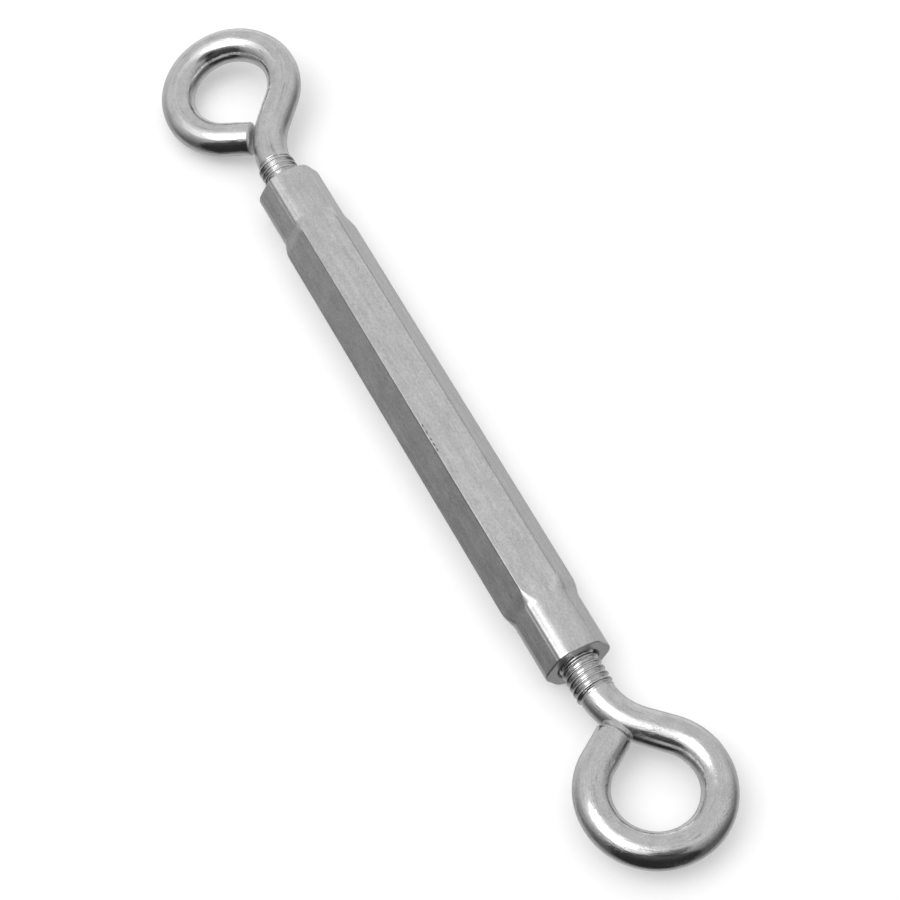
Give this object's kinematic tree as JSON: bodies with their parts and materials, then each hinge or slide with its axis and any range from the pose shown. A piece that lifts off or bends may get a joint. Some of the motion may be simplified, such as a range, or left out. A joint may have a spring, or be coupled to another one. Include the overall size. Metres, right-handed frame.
{
  "type": "turnbuckle",
  "caption": "Eye-and-eye rigging turnbuckle: a hexagonal aluminium tube barrel that draws two bent steel eye bolts together on right- and left-hand threads.",
  "frame": {"origin": "middle of the barrel, on the thread axis, which is also the middle of the part's box", "axes": "+X along the barrel towards the right-hand bolt, +Z out of one of the barrel's six flats, +Y the side that the right-hand bolt's neck bends to"},
  "size_m": [0.251, 0.036, 0.016],
  "materials": {
    "barrel_aluminium": "satin extruded, lightly scratched",
    "zinc_plated_steel": "bright zinc plate over drawn rod"
  },
  "bodies": {
    "barrel": {"barrel": "barrel_aluminium"},
    "rh_travel": {"rh_shank_end": "zinc_plated_steel"},
    "rh_eye_bolt": {"rh_eye_bolt": "zinc_plated_steel"},
    "lh_travel": {"lh_shank_end": "zinc_plated_steel"},
    "lh_eye_bolt": {"lh_eye_bolt": "zinc_plated_steel"}
  },
  "joints": [
    {"name": "rh_bolt_travel", "type": "slide", "parent": "barrel", "child": "rh_travel", "axis": [1, 0, 0], "range_m": [-0.00635, 0.04286]},
    {"name": "rh_bolt_turn", "type": "hinge", "parent": "rh_travel", "child": "rh_eye_bolt", "pos_m": [0.0808, 0, 0], "axis": [1, 0, 0], "range_deg": [-1440, 9720]},
    {"name": "lh_bolt_travel", "type": "slide", "parent": "barrel", "child": "lh_travel", "axis": [-1, 0, 0], "range_m": [-0.00476, 0.04286]},
    {"name": "lh_bolt_turn", "type": "hinge", "parent": "lh_travel", "child": "lh_eye_bolt", "pos_m": [-0.08015, 0, 0], "axis": [1, 0, 0], "range_deg": [-1080, 9720]}
  ],
  "couplings": [
    {"joint": "rh_bolt_travel", "follows": "rh_bolt_turn", "m_per_rad": 0.00025266},
    {"joint": "lh_bolt_travel", "follows": "lh_bolt_turn", "m_per_rad": 0.00025266}
  ]
}
